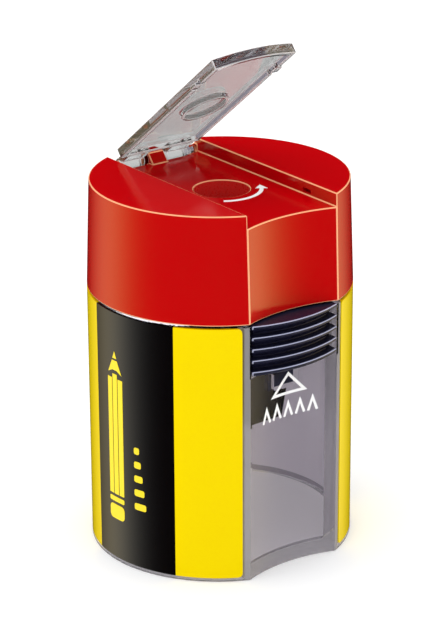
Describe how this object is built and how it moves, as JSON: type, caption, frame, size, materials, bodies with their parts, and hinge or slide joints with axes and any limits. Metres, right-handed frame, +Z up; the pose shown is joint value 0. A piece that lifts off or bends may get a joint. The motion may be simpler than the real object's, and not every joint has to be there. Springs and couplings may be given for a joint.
{
  "type": "pencil sharpener",
  "caption": "Round tub pencil sharpener with a clear shavings container, red lift-off cap, hinged clear lid over the pencil hole and ribbed press grips front and back.",
  "frame": {"origin": "middle of the base, on the surface that the sharpener stands on", "axes": "+Z up; -Y towards the front face, which has the clear window and the front press grip; +Y towards the lid hinge; +X to the right seen from the front"},
  "size_m": [0.0412, 0.0404, 0.0804],
  "materials": {
    "clear_smoke": "smoke-tinted clear moulded plastic",
    "clear_lid": "smoke-tinted clear moulded plastic",
    "red_plastic": "satin moulded plastic",
    "navy_plastic": "matte moulded plastic",
    "grip_plastic": "satin moulded plastic",
    "black_metal": "black coated die casting",
    "blade_steel": "ground steel",
    "screw_steel": "plated steel",
    "label_print": "glossy printed film, yellow and black"
  },
  "bodies": {
    "base": {"container": "clear_smoke", "label_left": "label_print", "label_right": "label_print"},
    "head": {"cap": "red_plastic", "sharpener_carrier": "navy_plastic", "sharpener_body": "black_metal", "blade": "blade_steel", "blade_screw": "screw_steel"},
    "grip_front": {"press_grip_front": "grip_plastic"},
    "grip_back": {"press_grip_back": "grip_plastic"},
    "lid": {"lid": "clear_lid"}
  },
  "joints": [
    {"name": "head_lift", "type": "slide", "parent": "base", "child": "head", "axis": [0, 0, 1], "range_m": [0, 0.03]},
    {"name": "grip_front_press", "type": "slide", "parent": "head", "child": "grip_front", "axis": [0, 1, 0], "range_m": [0, 0.0013], "stiffness_N_per_m": 900},
    {"name": "grip_back_press", "type": "slide", "parent": "head", "child": "grip_back", "axis": [0, -1, 0], "range_m": [0, 0.0013], "stiffness_N_per_m": 900},
    {"name": "lid_hinge", "type": "hinge", "parent": "head", "child": "lid", "pos_m": [0, 0.01766, 0.0567], "axis": [-1, 0, 0], "range_deg": [-38.7, 81.3]}
  ]
}
